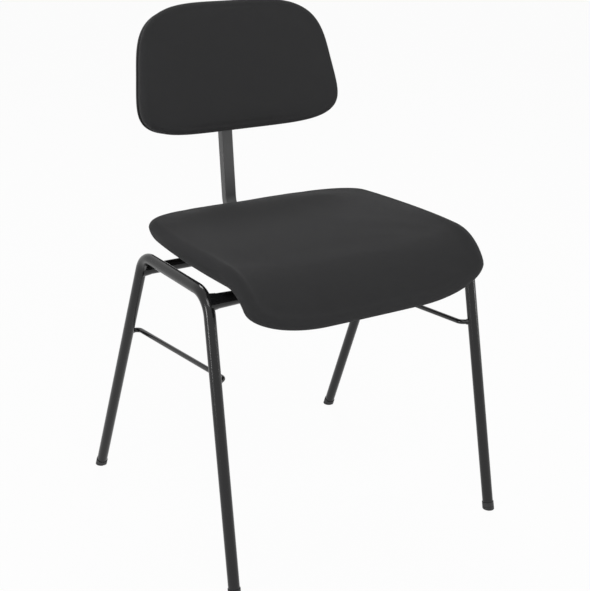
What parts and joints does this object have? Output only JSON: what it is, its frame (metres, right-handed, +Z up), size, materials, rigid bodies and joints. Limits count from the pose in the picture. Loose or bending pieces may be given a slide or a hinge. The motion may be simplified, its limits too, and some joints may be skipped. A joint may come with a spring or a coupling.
{
  "type": "choir chair",
  "caption": "Armless choir chair: welded round-tube frame with splayed legs, padded waterfall-front seat and a padded backrest on one central post.",
  "frame": {"origin": "floor level, at the bottom centre of the whole chair", "axes": "+Z up, +X to the right as seen from the front, the sitter faces -Y"},
  "size_m": [0.5228, 0.5126, 0.8235],
  "materials": {
    "frame_steel": "satin black powder coat",
    "black_plastic": "matte black",
    "cover_plastic": "fine-grained black",
    "zinc_steel": "zinc plated",
    "plywood": "moulded beech plywood",
    "seat_fabric": "fine woven upholstery fabric"
  },
  "bodies": {
    "root": {"left_side_frame": "frame_steel", "right_side_frame": "frame_steel", "front_cross_tube": "frame_steel", "rear_cross_tube": "frame_steel", "front_cross_tube_welds": "frame_steel", "rear_cross_tube_welds": "frame_steel", "left_side_rod": "frame_steel", "right_side_rod": "frame_steel", "side_rod_welds": "frame_steel", "front_left_seat_lug": "frame_steel", "front_right_seat_lug": "frame_steel", "rear_left_seat_lug": "frame_steel", "rear_right_seat_lug": "frame_steel", "back_post": "frame_steel", "backrest_bracket": "frame_steel", "front_left_foot": "black_plastic", "front_right_foot": "black_plastic", "rear_left_foot": "black_plastic", "rear_right_foot": "black_plastic", "back_post_cap": "black_plastic", "backrest_cover": "cover_plastic", "seat_screws": "zinc_steel", "seat_tee_nuts": "zinc_steel", "backrest_screws": "zinc_steel", "backrest_tee_nuts": "zinc_steel", "seat_shell": "plywood", "backrest_shell": "plywood", "seat_pad": "seat_fabric", "backrest_pad": "seat_fabric"}
  },
  "joints": []
}
